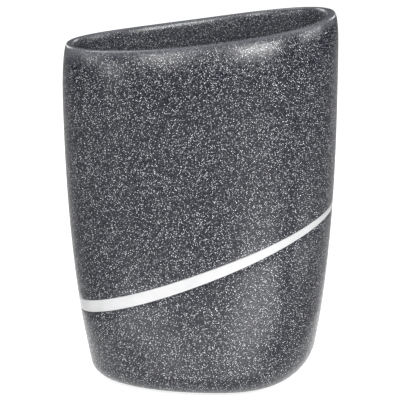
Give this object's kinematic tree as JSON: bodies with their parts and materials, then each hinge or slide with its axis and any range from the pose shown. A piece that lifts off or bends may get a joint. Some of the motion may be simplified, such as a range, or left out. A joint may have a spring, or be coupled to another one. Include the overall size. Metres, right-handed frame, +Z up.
{
  "type": "bathroom tumbler",
  "caption": "Oval cast-stone bathroom tumbler with a slanted rounded rim, a slanting white inlaid band and small pads under its base.",
  "frame": {"origin": "middle of the cup's oval, on the surface that the tumbler stands on", "axes": "+X along the long way of the oval, towards the high end of the rim; +Y to the back; +Z up"},
  "size_m": [0.0818, 0.057, 0.112],
  "materials": {
    "stone_resin": "honed, dark grey with fine pale specks",
    "band_resin": "satin off-white",
    "foot_pad": "soft and translucent"
  },
  "bodies": {
    "root": {"cup_body": "stone_resin", "band_inlay": "band_resin", "foot_front_left": "foot_pad", "foot_front_right": "foot_pad", "foot_back_left": "foot_pad", "foot_back_right": "foot_pad"}
  },
  "joints": []
}
